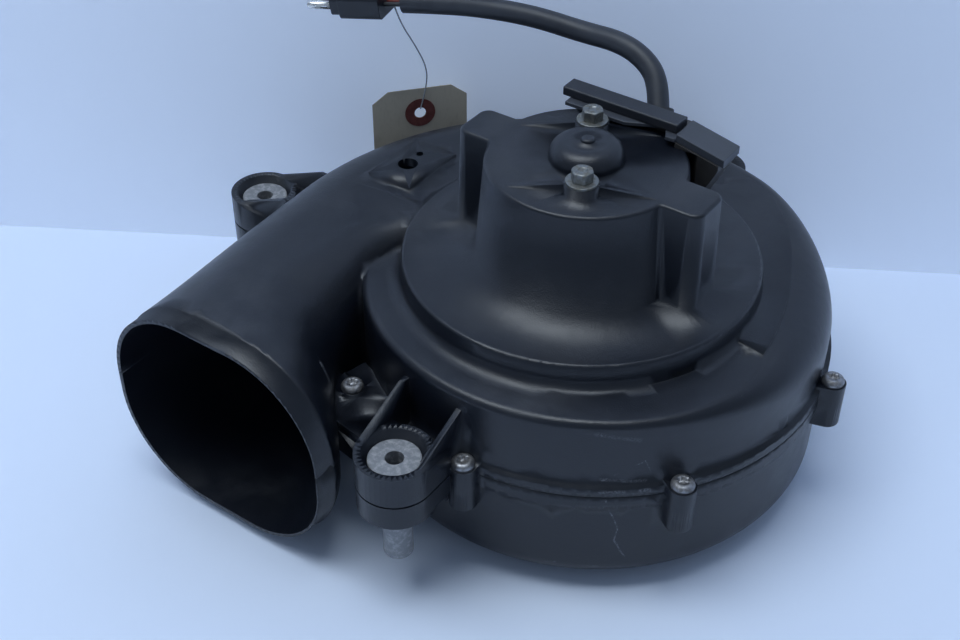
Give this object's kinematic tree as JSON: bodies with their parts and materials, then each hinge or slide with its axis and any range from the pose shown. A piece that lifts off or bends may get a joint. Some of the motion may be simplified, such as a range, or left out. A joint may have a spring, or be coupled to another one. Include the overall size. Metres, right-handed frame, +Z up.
{
  "type": "blower motor wheel",
  "caption": "Centrifugal blower: parted scroll housing with outlet duct and mounting ears, motor can on top, and a bladed wheel turning inside over a round air inlet.",
  "frame": {"origin": "centre of the air inlet, in the plane of the inlet ring's lower edge", "axes": "+Z up along the wheel and motor axis, away from the inlet; -Y out of the outlet duct; -X towards the duct's outer wall"},
  "size_m": [0.2978, 0.2822, 0.1717],
  "materials": {
    "shell_plastic": "satin blue-black moulded plastic with dust",
    "screw_steel": "dull zinc plate",
    "bolt_steel": "zinc plate with a yellow tinge",
    "sleeve_steel": "dull steel",
    "motor_steel": "plated sheet steel",
    "bearing_bronze": "sintered bronze",
    "magnet": "pressed ferrite",
    "shaft_steel": "ground steel",
    "lamination": "stacked sheet steel",
    "copper": "enamelled copper",
    "brush_carbon": "pressed carbon",
    "card_brown": "brown board",
    "wheel_plastic": "matt black moulded plastic",
    "box_plastic": "matt brown-black plastic",
    "lid_plastic": "satin grey plastic",
    "cable_rubber": "smooth dark grey rubber",
    "wire_red": "reddish-brown insulation",
    "wire_black": "black insulation",
    "connector_plastic": "black moulded plastic",
    "pin_metal": "bright tin plate",
    "card_manila": "manila card",
    "patch_red": "red-brown paper ring",
    "string_grey": "grey twisted thread"
  },
  "bodies": {
    "housing": {"upper_scroll_shell": "shell_plastic", "lower_scroll_shell": "shell_plastic", "shell_screws": "screw_steel", "mount_sleeve_front": "sleeve_steel", "mount_sleeve_rear": "sleeve_steel", "mount_sleeve_duct": "sleeve_steel", "motor_bolt_washers": "bolt_steel", "motor_bolts": "bolt_steel", "motor_case": "motor_steel", "motor_end_plate": "motor_steel", "field_magnet_left": "magnet", "field_magnet_right": "magnet", "lower_bearing": "bearing_bronze", "upper_bearing": "bearing_bronze", "brush_plate": "card_brown", "brush_left": "brush_carbon", "brush_right": "brush_carbon", "brush_spring_left": "shaft_steel", "brush_spring_right": "shaft_steel", "terminal_box": "box_plastic", "terminal_lid": "lid_plastic", "terminal_clip_bar": "connector_plastic", "cable_exit": "cable_rubber", "cable_sleeve": "cable_rubber", "lead_wire_left": "wire_red", "lead_wire_right": "wire_black", "connector_body": "connector_plastic", "connector_pin_left": "pin_metal", "connector_pin_right": "pin_metal", "connector_peg": "connector_plastic", "tag_card": "card_manila", "tag_patch": "patch_red", "tag_string": "string_grey"},
    "rotor": {"motor_shaft": "shaft_steel", "armature_core": "lamination", "armature_windings": "copper", "commutator": "copper", "thrust_washer": "card_brown", "blower_wheel": "wheel_plastic", "wheel_hub_bush": "bearing_bronze", "wheel_clip": "shaft_steel"}
  },
  "joints": [
    {"name": "rotor_spin", "type": "hinge", "parent": "housing", "child": "rotor", "pos_m": [0, 0, 0.06], "axis": [0, 0, 1], "continuous": true}
  ]
}
